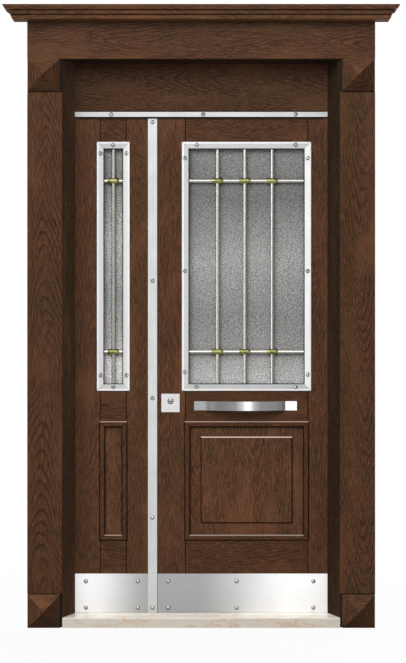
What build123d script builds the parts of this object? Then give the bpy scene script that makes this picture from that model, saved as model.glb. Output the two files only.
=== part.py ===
from build123d import *
import os

os.makedirs("parts", exist_ok=True)

# Double front door: a narrow side leaf and a wide main leaf in a lined frame, with a casing of
# pilasters, corner blocks, header board and cornice, and a stone threshold.
# Seen from outside, +X is right, +Y is into the building and +Z is up. The origin is on the ground,
# under the middle of the threshold, in the plane of the wall's outer face.

# Casing
casing_width = 1566.0
pilaster_width = 158.0
casing_thickness = 30.0
jamb_cover = 18.0
header_height = 169.0
block_shadow_gap = 10.0
block_outer_gap = 1.0
upper_block_height = 147.0
lower_block_height = 150.0
pyramid_height = 44.0
pyramid_tip = 3.0
casing_edge = 2.0
end_rebate_height = 5.0
end_rebate_depth = 10.0

# Cornice, as three bands: overhang at the foot, overhang at the head, height
cornice_bands = ((61.0, 67.0, 15.0), (70.0, 80.0, 13.0), (88.0, 103.5, 20.0))
cornice_groove_height = 6.0
cornice_groove_depth = 9.0
cornice_bulge = 1.5

# Frame lining
jamb_depth = 200.0
jamb_back_width = 58.0
lining_height = 38.0
jamb_splay = 46.0
clear_top = 2316.0
transom_height = 246.0
threshold_height = 44.0
threshold_edge = 5.0
transom_strip_height = 22.0
transom_strip_lift = 2.5
strip_thickness = 3.0

# Leaves and the room around them
leaf_thickness = 50.0
leaf_lap = 12.0
leaf_gap = 5.0
bottom_gap = 6.0
stop_gap = 8.0
side_leaf_width = 393.0
main_edge_offset = 2.5
side_edge_offset = 6.5
main_edge_bevel = 5.0
side_edge_bevel = 0.5
meeting_strip_width = 42.0
meeting_strip_setback = 4.5
seal_gap = 1.5
seal_width = 8.0

# Stiles, rails and what they hold
side_hinge_stile_width = 127.5
side_meeting_stile_width = 139.5
main_hinge_stile_width = 102.0
main_lock_stile_width = 122.5
bottom_rail_height = 348.0
panel_height = 537.5
lock_rail_height = 160.0
top_rail_height = 139.0
joint_groove = 2.0

# Panels and their mouldings
panel_thickness = 34.0
moulding_width = 27.0
moulding_lap = 5.0
moulding_height = 7.0
moulding_edge = 5.0
moulding_edge_depth = 3.5
field_border = 48.0
field_rise = 8.0
field_edge = 5.0
field_edge_depth = 3.5
field_lift = 4.0

# Glazing
glass_thickness = 6.0
glass_behind_bars = 7.5
trim_width = 30.0
trim_lap = 16.0
trim_height = 7.0
trim_band = 9.0
trim_edge = 2.0
trim_slope_depth = 3.0
trim_lip = 3.0
bar_diameter = 17.0
bar_depth = 16.0
bar_spacing = 125.5
grille_shift = -7.0
cross_bar_inset = 163.0
collar_length = 52.0
collar_diameter = 29.0
collar_end_diameter = 22.0
collar_barrel_length = 30.0
collar_clearance = 0.2

# Metalwork
kick_plate_height = 186.0
kick_plate_margin = 5.0
sheet_thickness = 2.0
sheet_corner = 3.0
lock_plate_size = 85.0
lock_plate_thickness = 3.0
lock_plate_margin = 17.0
lock_plate_rise = 8.5
cylinder_rise = 8.0
cylinder_diameter = 20.0
cylinder_tail_width = 10.0
cylinder_tail_height = 11.0
cylinder_projection = 6.0
cylinder_clearance = 0.2
keyway_length = 13.0
keyway_width = 2.6
keyway_depth = 4.0
handle_margin = 45.5
handle_foot = 54.0
handle_bow = 58.0
handle_height = 42.0
handle_thickness = 5.0
handle_shift = -5.0
handle_drop = 4.5

# Hinges
hinge_inset = 228.0
hinge_length = 120.0
hinge_plate_width = 40.0
hinge_plate_thickness = 3.0
knuckle_diameter = 14.0
hinge_pin_diameter = 8.0
hinge_pin_clearance = 0.06
hinge_end_clearance = 0.3
hinge_plate_clearance = 1.5
hinge_pin_tip = 5.0

# Places that several pieces share
casing_half = casing_width / 2
opening_half = casing_half - pilaster_width
casing_front = -casing_thickness
jamb_front = casing_front + jamb_cover
header_underside = clear_top + transom_height
header_top = header_underside + header_height
lining_top = header_underside + lining_height
clear_half = opening_half - jamb_splay
rebate_half = clear_half + leaf_lap + leaf_gap
jamb_outer = rebate_half + jamb_back_width
leaf_back = jamb_depth
leaf_front = leaf_back - leaf_thickness
leaf_middle = (leaf_front + leaf_back) / 2
stop_y = leaf_front - stop_gap
leaf_half = clear_half + leaf_lap
leaf_bottom = threshold_height - leaf_lap
leaf_top = clear_top + leaf_lap
threshold_rear = leaf_bottom - bottom_gap
transom_bottom = leaf_top + leaf_gap
panel_bottom = leaf_bottom + bottom_rail_height
panel_top = panel_bottom + panel_height
light_bottom = panel_top + lock_rail_height
light_top = leaf_top - top_rail_height
light_height = light_top - light_bottom
panel_front = leaf_middle - panel_thickness / 2
bar_y = leaf_front + bar_depth
glass_front = bar_y + bar_diameter / 2 + glass_behind_bars
meeting_x = side_leaf_width - leaf_half
main_edge = meeting_x + main_edge_offset
side_edge = meeting_x - side_edge_offset
side_light = (side_hinge_stile_width - leaf_half, side_edge - side_meeting_stile_width)
main_light = (main_edge + main_lock_stile_width, leaf_half - main_hinge_stile_width)
main_light_width = main_light[1] - main_light[0]
strip_right = meeting_x - meeting_strip_setback
strip_left = strip_right - meeting_strip_width
lock_rail_middle = (panel_top + light_bottom) / 2
lock_x = main_edge - main_edge_bevel + lock_plate_margin + lock_plate_size / 2
lock_plate_z = lock_rail_middle + lock_plate_rise
lock_z = lock_plate_z + cylinder_rise
handle_z = lock_rail_middle - handle_drop
handle_length = main_light_width - 2 * handle_margin
handle_x = sum(main_light) / 2 + handle_shift
hinge_x = leaf_half + leaf_gap / 2
hinge_y = leaf_back + knuckle_diameter / 2
hinge_heights = (leaf_bottom + hinge_inset, (leaf_bottom + leaf_top) / 2, leaf_top - hinge_inset)
leaf_mid_plane = Plane.XZ.offset(-leaf_middle)


def write(builder, name):
    """Label a finished piece and write it as its own file."""
    builder.part.label = name
    export_step(builder.part, f"parts/{name}.step")


def board(x, y, z):
    """A square-edged board between two x, two y and two z values."""
    with BuildPart() as piece:
        with BuildSketch(Plane.XY.offset(z[0])):
            with Locations(((x[0] + x[1]) / 2, (y[0] + y[1]) / 2)):
                Rectangle(x[1] - x[0], y[1] - y[0])
        extrude(amount=z[1] - z[0])
    return piece


def upright(plan, z):
    """A prism that stands on a plan outline between two z values."""
    with BuildPart() as piece:
        with BuildSketch(Plane.XY.offset(z[0])):
            with BuildLine():
                Polyline(*plan, close=True)
            make_face()
        extrude(amount=z[1] - z[0])
    return piece


def outside_plane(x, y, z):
    """A plane that faces the viewer outside, with its own x to the right and y up."""
    return Plane(origin=(x, y, z), x_dir=(1, 0, 0), z_dir=(0, -1, 0))


def sheet(x, y, z, corner):
    """A thin plate with rounded corners, on the y plane given first and standing out to the second."""
    with BuildPart() as piece:
        with BuildSketch(outside_plane((x[0] + x[1]) / 2, y[1], (z[0] + z[1]) / 2)):
            RectangleRounded(x[1] - x[0], z[1] - z[0], corner)
        extrude(amount=y[1] - y[0])
    return piece


def opening_plan(front, front_half):
    """Half outline of the room between the jambs, from the front along the splay to the back."""
    return [
        (front_half, front),
        (opening_half, jamb_front),
        (clear_half, stop_y),
        (rebate_half, stop_y),
        (rebate_half, leaf_back),
    ]


def both_sides(half_plan):
    """A whole outline from its right half."""
    return half_plan + [(-x, y) for x, y in reversed(half_plan)]


# Frame lining

def make_jamb(side, name):
    """Splayed lining of one side, rebated behind for the leaf."""
    plan = [
        (opening_half, jamb_front),
        (clear_half, stop_y),
        (rebate_half, stop_y),
        (rebate_half, leaf_back),
        (jamb_outer, leaf_back),
        (jamb_outer, jamb_front),
    ]
    write(upright([(side * x, y) for x, y in plan], (0, lining_top)), name)


make_jamb(-1, "left_jamb")
make_jamb(1, "right_jamb")

head_plan = both_sides(opening_plan(jamb_front, opening_half)[1:])
write(upright(head_plan, (header_underside, lining_top)), "head_lining")

with BuildPart() as threshold:
    with BuildSketch():
        with BuildLine():
            Polyline(*both_sides(opening_plan(casing_front, opening_half)), close=True)
        make_face()
    extrude(amount=threshold_height)
    with BuildSketch(Plane.XY.offset(threshold_rear)):
        with Locations((0, (stop_y + leaf_back) / 2)):
            Rectangle(2 * rebate_half, leaf_back - stop_y)
    extrude(amount=threshold_height - threshold_rear, mode=Mode.SUBTRACT)
    front_edges = threshold.edges().filter_by(Axis.X).group_by(Axis.Y)[0]
    fillet(front_edges.sort_by(Axis.Z)[-1], radius=threshold_edge)
write(threshold, "threshold")

write(
    board((-rebate_half, rebate_half), (stop_y, leaf_back), (transom_bottom, header_underside)),
    "transom_panel",
)
strip_bottom = clear_top + transom_strip_lift
write(
    board(
        (-clear_half, clear_half),
        (stop_y - strip_thickness, stop_y),
        (strip_bottom, strip_bottom + transom_strip_height),
    ),
    "transom_strip",
)


# Casing

def casing_plan(inner, outer):
    """Plan of a casing board that is cut away behind, where it covers the jamb's front edge."""
    return [
        (inner, casing_front),
        (outer, casing_front),
        (outer, 0),
        (jamb_outer, 0),
        (jamb_outer, jamb_front),
        (inner, jamb_front),
    ]


upper_block_bottom = header_underside - upper_block_height


def make_pilaster(side, name):
    """Plain upright between the corner blocks, with eased front edges and rebated ends."""
    with BuildPart() as pilaster:
        with BuildSketch(Plane.XY.offset(lower_block_height)):
            with BuildLine():
                Polyline(*[(side * x, y) for x, y in casing_plan(opening_half, casing_half)], close=True)
            make_face()
        extrude(amount=upper_block_bottom - lower_block_height)
        chamfer(pilaster.edges().filter_by(Axis.Z).group_by(Axis.Y)[0], length=casing_edge)
        for z in (lower_block_height, upper_block_bottom - end_rebate_height):
            with BuildSketch(Plane.XY.offset(z)):
                with Locations((side * (opening_half + casing_half) / 2, casing_front)):
                    Rectangle(pilaster_width, 2 * end_rebate_depth)
            extrude(amount=end_rebate_height, mode=Mode.SUBTRACT)
    write(pilaster, name)


make_pilaster(-1, "left_pilaster")
make_pilaster(1, "right_pilaster")


def make_blocks(z_low, height, name):
    """A pair of corner blocks whose fronts are four-sided pyramids."""
    inner = opening_half + block_shadow_gap
    outer = casing_half - block_outer_gap
    with BuildPart() as blocks:
        with BuildSketch(Plane.XY.offset(z_low)):
            with BuildLine():
                Polyline(*casing_plan(inner, outer), close=True)
            make_face()
        extrude(amount=height)
        middle = ((inner + outer) / 2, casing_front, z_low + height / 2)
        with BuildSketch(outside_plane(*middle)):
            Rectangle(outer - inner, height)
        extrude(amount=pyramid_height)
        front = blocks.faces().sort_by(Axis.Y)[0]
        run = (outer - inner - pyramid_tip) / 2
        chamfer(front.edges(), length=run, length2=pyramid_height, reference=front)
        mirror(about=Plane.YZ)
    write(blocks, name)


make_blocks(upper_block_bottom, upper_block_height, "upper_blocks")
make_blocks(0, lower_block_height, "lower_blocks")

with BuildPart() as header_board:
    with BuildSketch(Plane.XY.offset(header_underside)):
        with Locations((0, casing_front / 2)):
            Rectangle(casing_width, casing_thickness)
    extrude(amount=header_height)
    with BuildSketch(Plane.XY.offset(header_underside)):
        with Locations((0, jamb_front / 2)):
            Rectangle(2 * jamb_outer, -jamb_front)
    extrude(amount=lining_height, mode=Mode.SUBTRACT)
write(header_board, "header_board")

cornice_grooves = len(cornice_bands) - 1
cornice_height = sum(height for foot, head, height in cornice_bands)
cornice_height += cornice_grooves * cornice_groove_height

with BuildPart() as cornice:
    with BuildSketch(Plane.XY.offset(header_top)):
        with Locations((0, casing_front / 2)):
            Rectangle(casing_width, casing_thickness)
    extrude(amount=cornice_height)
    with BuildLine() as cornice_path:
        Polyline(
            (-casing_half, 0, header_top),
            (-casing_half, casing_front, header_top),
            (casing_half, casing_front, header_top),
            (casing_half, 0, header_top),
        )
    with BuildSketch(Plane(origin=(-casing_half, 0, header_top), x_dir=(-1, 0, 0), z_dir=(0, 1, 0))):
        with BuildLine():
            corner = (0, 0)
            rise = 0
            for foot, head, height in cornice_bands:
                if rise:
                    groove = corner[0] - cornice_groove_depth
                    Polyline(corner, (groove, rise), (groove, rise + cornice_groove_height))
                    rise += cornice_groove_height
                    corner = (groove, rise)
                Line(corner, (foot, rise))
                SagittaArc((foot, rise), (head, rise + height), -cornice_bulge)
                rise += height
                corner = (head, rise)
            Polyline(corner, (0, rise), (0, 0))
        make_face()
    sweep(path=cornice_path.line, transition=Transition.RIGHT)
write(cornice, "cornice")


# Leaves: stiles and rails

def main_edge_x(y):
    """Meeting edge of the main leaf at a depth y, bevelled so that the side leaf swings past it."""
    return main_edge - main_edge_bevel * (leaf_back - y) / leaf_thickness


def side_edge_x(y):
    """Meeting edge of the side leaf at a depth y."""
    return side_edge + side_edge_bevel * (leaf_back - y) / leaf_thickness


leaf_z = (leaf_bottom, leaf_top)


def stile_plan(light_x, front_x, back_x):
    """Plan of a stile, eased beside the light to leave a fine groove where the rails meet it."""
    inward = joint_groove if front_x > light_x else -joint_groove
    return [
        (light_x, leaf_front + joint_groove),
        (light_x + inward, leaf_front),
        (front_x, leaf_front),
        (back_x, leaf_back),
        (light_x + inward, leaf_back),
        (light_x, leaf_back - joint_groove),
    ]


write(upright(stile_plan(side_light[0], -leaf_half, -leaf_half), leaf_z), "side_hinge_stile")
write(
    upright(stile_plan(side_light[1], side_edge_x(leaf_front), side_edge_x(leaf_back)), leaf_z),
    "side_meeting_stile",
)
write(upright(stile_plan(main_light[1], leaf_half, leaf_half), leaf_z), "main_hinge_stile")


def cylinder_outline(grow):
    """Section of the lock cylinder: a round body with a narrow tail above."""
    Circle(cylinder_diameter / 2 + grow)
    with Locations((0, cylinder_tail_height / 2)):
        Rectangle(cylinder_tail_width + 2 * grow, cylinder_tail_height)
    with Locations((0, cylinder_tail_height)):
        Circle(cylinder_tail_width / 2 + grow)


with BuildPart() as main_lock_stile:
    with BuildSketch(Plane.XY.offset(leaf_bottom)):
        with BuildLine():
            Polyline(
                *stile_plan(main_light[0], main_edge_x(leaf_front), main_edge_x(leaf_back)),
                close=True,
            )
        make_face()
    extrude(amount=leaf_top - leaf_bottom)
    with BuildSketch(outside_plane(lock_x, leaf_back, lock_z)):
        cylinder_outline(cylinder_clearance)
    extrude(amount=leaf_thickness, mode=Mode.SUBTRACT)
write(main_lock_stile, "main_lock_stile")


def make_rail(x, z, name):
    """A rail between two stiles, with its ends eased to leave a fine groove at each joint."""
    with BuildPart() as rail:
        with BuildSketch(Plane.XY.offset(z[0])):
            with Locations(((x[0] + x[1]) / 2, leaf_middle)):
                Rectangle(x[1] - x[0], leaf_thickness)
        extrude(amount=z[1] - z[0])
        chamfer(rail.edges().filter_by(Axis.Z), length=joint_groove)
    write(rail, name)


leaves = {"side": side_light, "main": main_light}

for leaf, light in leaves.items():
    make_rail(light, (light_top, leaf_top), f"{leaf}_top_rail")
    make_rail(light, (panel_top, light_bottom), f"{leaf}_lock_rail")
    make_rail(light, (leaf_bottom, panel_bottom), f"{leaf}_bottom_rail")


# Leaves: panels, glazing and their frames

def make_ring(x, z, lap, section, name):
    """A mitred frame round an opening, on the front of the leaf and again on its back.

    The section is drawn inward from the frame's outer edge and outward from the leaf's face.
    """
    left, right = x[0] - lap, x[1] + lap
    low, high = z[0] - lap, z[1] + lap
    middle = (left + right) / 2
    with BuildPart() as ring:
        with BuildLine() as path:
            Polyline(
                (middle, leaf_front, low),
                (right, leaf_front, low),
                (right, leaf_front, high),
                (left, leaf_front, high),
                (left, leaf_front, low),
                (middle, leaf_front, low),
            )
        with BuildSketch(Plane(origin=(middle, leaf_front, low), x_dir=(0, 0, 1), z_dir=(1, 0, 0))):
            with BuildLine():
                section()
            make_face()
        sweep(path=path.line, transition=Transition.RIGHT)
        mirror(about=leaf_mid_plane)
    write(ring, name)


def trim_section():
    """Flat outer band, then a slope that runs down towards the glass."""
    Polyline(
        (0, 0),
        (0, trim_height - trim_edge),
        (trim_edge, trim_height),
        (trim_band, trim_height),
        (trim_width, -trim_slope_depth),
        (trim_width, -trim_slope_depth - trim_lip),
        (trim_lap, -trim_slope_depth - trim_lip),
        (trim_lap, 0),
        close=True,
    )


def moulding_section():
    """Raised flat band with bevelled edges, let into the opening down to the panel."""
    panel_depth = panel_front - leaf_front
    Polyline(
        (0, 0),
        (0, moulding_height - moulding_edge_depth),
        (moulding_edge, moulding_height),
        (moulding_width - moulding_edge, moulding_height),
        (moulding_width, moulding_height - moulding_edge_depth),
        (moulding_width, -panel_depth),
        (moulding_lap, -panel_depth),
        (moulding_lap, 0),
        close=True,
    )


write(
    board(side_light, (panel_front, panel_front + panel_thickness), (panel_bottom, panel_top)),
    "side_panel",
)

with BuildPart() as main_panel:
    panel_x = sum(main_light) / 2
    panel_z = (panel_bottom + panel_top) / 2
    with BuildSketch(outside_plane(panel_x, leaf_middle, panel_z)):
        Rectangle(main_light_width, panel_height)
    extrude(amount=panel_thickness / 2)
    field_inset = 2 * (moulding_width - moulding_lap + field_border)
    with BuildSketch(outside_plane(panel_x, panel_front, panel_z + field_lift)):
        Rectangle(main_light_width - field_inset, panel_height - field_inset)
    extrude(amount=field_rise)
    field_face = main_panel.faces().sort_by(Axis.Y)[0]
    chamfer(field_face.edges(), length=field_edge, length2=field_edge_depth, reference=field_face)
    mirror(about=leaf_mid_plane)
write(main_panel, "main_panel")


def make_grille(light, bar_xs, name):
    """Round bars across a light, fused where they cross."""
    with BuildPart() as grille:
        with BuildSketch(Plane.XY.offset(light_bottom)):
            with Locations(*[(x, bar_y) for x in bar_xs]):
                Circle(bar_diameter / 2)
        extrude(amount=light_height)
        with BuildSketch(Plane.YZ.offset(light[0])):
            with Locations(*[(bar_y, z) for z in cross_bar_heights]):
                Circle(bar_diameter / 2)
        extrude(amount=light[1] - light[0])
    write(grille, name)


def make_collars(light, bar_xs, name):
    """Barrel-shaped sleeves over the crossings of a grille, with eight-sided bores."""
    bore = bar_diameter / 2 + collar_clearance
    end_radius = collar_end_diameter / 2
    barrel_radius = collar_diameter / 2
    half = collar_length / 2
    barrel_half = collar_barrel_length / 2
    with BuildPart() as collars:
        for x in bar_xs:
            for z in cross_bar_heights:
                with BuildSketch(outside_plane(x, bar_y, z)):
                    with BuildLine():
                        Polyline(
                            (-half, 0),
                            (-half, end_radius),
                            (-barrel_half, barrel_radius),
                            (barrel_half, barrel_radius),
                            (half, end_radius),
                            (half, 0),
                            close=True,
                        )
                    make_face()
                revolve(axis=Axis((x, bar_y, z), (1, 0, 0)))
        with BuildSketch(Plane.XY.offset(light_bottom)):
            with Locations(*[(x, bar_y) for x in bar_xs]):
                RegularPolygon(bore, 8, major_radius=False)
        extrude(amount=light_height, mode=Mode.SUBTRACT)
        with BuildSketch(Plane.YZ.offset(light[0])):
            with Locations(*[(bar_y, z) for z in cross_bar_heights]):
                RegularPolygon(bore, 8, major_radius=False)
        extrude(amount=light[1] - light[0], mode=Mode.SUBTRACT)
    write(collars, name)


cross_bar_heights = (light_bottom + cross_bar_inset, light_top - cross_bar_inset)
main_bar_middle = sum(main_light) / 2 + grille_shift
bars = {
    "side": (sum(side_light) / 2,),
    "main": (main_bar_middle - bar_spacing, main_bar_middle, main_bar_middle + bar_spacing),
}

for leaf, light in leaves.items():
    light_z = (light_bottom, light_top)
    write(board(light, (glass_front, glass_front + glass_thickness), light_z), f"{leaf}_glass")
    make_ring(light, light_z, trim_lap, trim_section, f"{leaf}_glazing_trim")
    make_ring(light, (panel_bottom, panel_top), moulding_lap, moulding_section, f"{leaf}_panel_moulding")
    make_grille(light, bars[leaf], f"{leaf}_grille")
    make_collars(light, bars[leaf], f"{leaf}_collars")


# Metalwork

kick_bottom = leaf_bottom + kick_plate_margin
kick_z = (kick_bottom, kick_bottom + kick_plate_height)
kick_y = (leaf_front - sheet_thickness, leaf_front)
write(sheet((kick_plate_margin - leaf_half, strip_left), kick_y, kick_z, sheet_corner), "side_kick_plate")
main_kick_x = (main_edge_x(leaf_front), leaf_half - kick_plate_margin)
write(sheet(main_kick_x, kick_y, kick_z, sheet_corner), "main_kick_plate")

write(
    board((strip_left, strip_right), (leaf_front - strip_thickness, leaf_front), (leaf_bottom, leaf_top)),
    "meeting_strip",
)
seal_tip = main_edge_x(leaf_front) - seal_gap
seal_back = leaf_front + seal_width
seal_plan = [
    (side_edge_x(leaf_front), leaf_front),
    (seal_tip, leaf_front),
    (seal_tip, seal_back),
    (side_edge_x(seal_back), seal_back),
]
write(upright(seal_plan, leaf_z), "meeting_seal")

with BuildPart() as lock_plates:
    with BuildSketch(outside_plane(lock_x, leaf_front, lock_plate_z)):
        Rectangle(lock_plate_size, lock_plate_size)
    extrude(amount=lock_plate_thickness)
    with BuildSketch(outside_plane(lock_x, leaf_front, lock_z)):
        cylinder_outline(cylinder_clearance)
    extrude(amount=lock_plate_thickness, mode=Mode.SUBTRACT)
    plate_face = lock_plates.faces().sort_by(Axis.Y)[0]
    chamfer(plate_face.outer_wire().edges(), length=lock_plate_thickness / 3)
    mirror(about=leaf_mid_plane)
write(lock_plates, "lock_plates")

with BuildPart() as lock_cylinder:
    with BuildSketch(outside_plane(lock_x, leaf_middle, lock_z)):
        cylinder_outline(0)
    extrude(amount=leaf_thickness / 2 + cylinder_projection)
    cylinder_face = leaf_front - cylinder_projection
    with BuildSketch(outside_plane(lock_x, cylinder_face, lock_z)):
        Rectangle(keyway_length, keyway_width)
    extrude(amount=-keyway_depth, mode=Mode.SUBTRACT)
    mirror(about=leaf_mid_plane)
write(lock_cylinder, "lock_cylinder")


def make_handle(back, outward, name):
    """Flat strip bowed away from the leaf between two flat feet."""
    half = handle_length / 2
    bow_half = half - handle_foot
    inner_radius = (bow_half**2 + handle_bow**2) / (2 * handle_bow)
    outer_radius = inner_radius + handle_thickness
    centre_drop = inner_radius - handle_bow
    outer_half = (outer_radius**2 - (centre_drop + handle_thickness) ** 2) ** 0.5
    plane = Plane(
        origin=(handle_x, back, handle_z - handle_height / 2),
        x_dir=(outward, 0, 0),
        z_dir=(0, 0, 1),
    )
    with BuildPart() as handle:
        with BuildSketch(plane):
            with BuildLine():
                Line((-half, 0), (-bow_half, 0))
                ThreePointArc((-bow_half, 0), (0, handle_bow), (bow_half, 0))
                Polyline((bow_half, 0), (half, 0), (half, handle_thickness), (outer_half, handle_thickness))
                ThreePointArc(
                    (outer_half, handle_thickness),
                    (0, handle_bow + handle_thickness),
                    (-outer_half, handle_thickness),
                )
                Polyline((-outer_half, handle_thickness), (-half, handle_thickness), (-half, 0))
            make_face()
        extrude(amount=handle_height)
    write(handle, name)


make_handle(leaf_front, -1, "outer_pull_handle")
make_handle(leaf_back, 1, "inner_pull_handle")


# Hinges: lower knuckle and pin on the frame, upper knuckle on the leaf

knuckle_radius = knuckle_diameter / 2
pin_radius = hinge_pin_diameter / 2
half_hinge = hinge_length / 2
pin_length = half_hinge - hinge_pin_tip
neck_length = knuckle_radius + hinge_plate_clearance
plate_y = leaf_back + hinge_plate_thickness / 2


def make_hinges(sides, on_frame, name):
    """Hinge halves on the back faces of the frame or of a leaf, plate, neck and knuckle in one."""
    with BuildPart() as hinges:
        for side in sides:
            away = side if on_frame else -side
            axis_x = side * hinge_x
            for z in hinge_heights:
                with BuildSketch(Plane.XY.offset(z - half_hinge)):
                    with Locations((axis_x + away * (neck_length + hinge_plate_width / 2), plate_y)):
                        Rectangle(hinge_plate_width, hinge_plate_thickness)
                extrude(amount=hinge_length)
                knuckle_low = z - half_hinge if on_frame else z + hinge_end_clearance
                knuckle_high = z if on_frame else z + half_hinge
                with BuildSketch(Plane.XY.offset(knuckle_low)):
                    with Locations((axis_x, hinge_y)):
                        Circle(knuckle_radius)
                    with Locations((axis_x + away * neck_length / 2, plate_y)):
                        Rectangle(neck_length, hinge_plate_thickness)
                extrude(amount=knuckle_high - knuckle_low)
                with BuildSketch(Plane.XY.offset(z)):
                    with Locations((axis_x, hinge_y)):
                        Circle(pin_radius if on_frame else pin_radius + hinge_pin_clearance)
                if on_frame:
                    extrude(amount=pin_length)
                else:
                    extrude(amount=pin_length + hinge_end_clearance, mode=Mode.SUBTRACT)
    write(hinges, name)


make_hinges((-1, 1), True, "frame_hinges")
make_hinges((-1,), False, "side_leaf_hinges")
make_hinges((1,), False, "main_leaf_hinges")
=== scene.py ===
"""Dresses a one-and-a-half-leaf walnut front door: finishes, fixings, seals, studio and camera."""

from math import asin, atan2, cos, pi, radians, sin

import bmesh
import bpy
from bpy.props import FloatProperty, FloatVectorProperty, PointerProperty
from bpy.types import Operator, Panel, PropertyGroup
from mathutils import Euler, Matrix, Vector


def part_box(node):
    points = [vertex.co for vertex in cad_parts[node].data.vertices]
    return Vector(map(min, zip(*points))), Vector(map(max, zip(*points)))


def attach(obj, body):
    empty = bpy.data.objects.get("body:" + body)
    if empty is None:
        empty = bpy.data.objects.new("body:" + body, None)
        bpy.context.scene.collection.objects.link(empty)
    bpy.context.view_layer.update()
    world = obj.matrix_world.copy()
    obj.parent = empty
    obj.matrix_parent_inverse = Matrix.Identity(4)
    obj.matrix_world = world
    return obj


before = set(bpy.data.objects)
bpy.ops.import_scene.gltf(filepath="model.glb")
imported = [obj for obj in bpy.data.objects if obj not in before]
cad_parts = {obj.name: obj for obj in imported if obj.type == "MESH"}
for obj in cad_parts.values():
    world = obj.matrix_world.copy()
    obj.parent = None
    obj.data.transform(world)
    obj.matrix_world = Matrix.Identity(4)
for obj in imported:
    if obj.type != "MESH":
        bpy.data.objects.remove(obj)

bl_info = {
    "name": "Walnut Front Door",
    "version": (1, 0, 0),
    "blender": (4, 5, 0),
    "location": "View3D > Sidebar > Front Door",
    "description": "Finishes and fittings of a one-and-a-half-leaf front door",
    "category": "Object",
}

MM = 0.001
LEAVES = ("side", "main")
WHITE = (1.0, 1.0, 1.0, 1.0)

# Edges sharper than these stay sharp, on turned pieces and on plates
ROUND_ANGLE = radians(40)
EDGE_ANGLE = radians(30)

# How each board is cut from its log: turns of the grain, distances in metres, and the taper as a slope
UPRIGHT = (0.0, 0.0, 0.0)
LEVEL = (0.0, pi / 2, 0.0)
GOLDEN = 0.618034
HEART_SWING = 0.09
HEART_DEPTH = 0.012
HEART_DEPTH_RANGE = 0.035
BOARD_STEP = 1.37
RING_PERIOD = 0.0150
LOG_TAPER = 0.24
RIPPLE_DEPTH = 0.008

# Boards: tones as factors on the walnut colours, depth of the ring figure, and strength of the painted
# highlight on upper bevels
CASING_TONE = 0.98
# The side hinge stile's higher tone is painted light that lifts the shadow the left jamb casts on it
UPRIGHT_TONES_AND_FILL = {"side_hinge_stile": 1.28, "side_panel": 1.26, "main_panel": 1.26}
UPRIGHT_TONE = 1.10
LEVEL_TONES = (("header_board", 1.0), ("cornice", 1.50), ("transom_panel", 0.95))
# Linings: the left jamb's tone is painted light that lifts its shade, and the low tones of the right
# jamb and head lining are painted shade
LINING_PAINTED_SHADES = (
    ("left_jamb", UPRIGHT, 1.38),
    ("right_jamb", UPRIGHT, 0.64),
    ("head_lining", LEVEL, 0.55),
)
LINING_REDDER = -0.20
# Pyramid facets: painted light on the upper facet, painted shade on the lower and right facets
PYRAMID_PAINTED_SHADING = {"upper": 1.42, "lower": 0.68, "right": 0.74}
CASING_FIGURE = 0.75
LEVEL_FIGURE = 0.7
UPRIGHT_EDGE_HIGHLIGHT = 0.95
RAIL_EDGE_HIGHLIGHT = 0.80
MOULDING_EDGE_HIGHLIGHT = 0.45

# Bevels and mitres: leans as parts of a face's normal, and the dark tone of the mitre joints and of the
# painted shade in side and lower bevels
BEVEL_LEAN = (0.22, 0.42)
SQUARE_LEAN = (0.90, 0.97)
FACET_LEAN = (0.25, 0.40)
MITRE_LINE = 0.0016
JOINT_AND_SHADE_DEPTH = 0.85
JOINT_AND_SHADE_TONE = 0.30

# Brushed metal: noise scales, gains, roughness, and where in X a kick plate's painted reflection goes
# from dark to bright
BRUSH_ACROSS = 420.0
BRUSH_ALONG = 5.0
SMUDGE_SHIFT = 0.04
KICK_PAINTED_REFLECTION = {"side_kick_plate": (-0.22, -0.55), "main_kick_plate": (-0.03, 0.43)}
TRIM_GAIN = 1.28
LOCK_PLATE_GAIN = 0.98
SATIN = (0.66, 0.78)

# Leaf, rise of the glass's painted reflection bands in metres, and gain of its colours
PANES = (("side", 0.08, 1.5), ("main", 0.0, 1.06))

# Screws, in millimetres: places as (x, z), heights, and distances on and from their faces
TRANSOM_SCREWS = ((-412.8, 2329.5), (9.5, 2329.5), (433.1, 2329.5))
MEETING_SCREW_HEIGHTS = (2294.0, 1567.0, 1028.0, 480.0, 66.0)
SIDE_TRIM_SCREWS = (
    (-405.0, 2192.5), (-463.0, 2151.5), (-341.0, 2151.5),
    (-463.0, 1133.0), (-341.0, 1133.0), (-403.0, 1077.0),
)
MAIN_TRIM_SCREWS = (
    (-20.8, 2192.5), (432.7, 2192.5), (-20.8, 1077.4), (432.7, 1077.4),
    (-76.8, 2129.5), (-76.8, 1611.7), (-76.8, 1147.7),
    (489.6, 2129.5), (489.6, 1611.7), (489.6, 1136.2),
)
KICK_SCREW_HEIGHTS = (187.4, 66.2)
SIDE_KICK_SCREWS = (-528.9, -290.7)
MAIN_KICK_SCREWS = (-151.2, 162.8, 514.8)
TRIM_SCREW_SINK = 1.4
HINGE_HEIGHTS = (260.0, 1180.0, 2100.0)
HINGE_SCREW_STEPS = (-40.0, 0.0, 40.0)
HINGE_SCREW_INSET = 20.0
HINGE_FACE = 203.0

# Turn of the recess from one screw to the next, in radians
SCREW_TURN = 2.4

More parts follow.
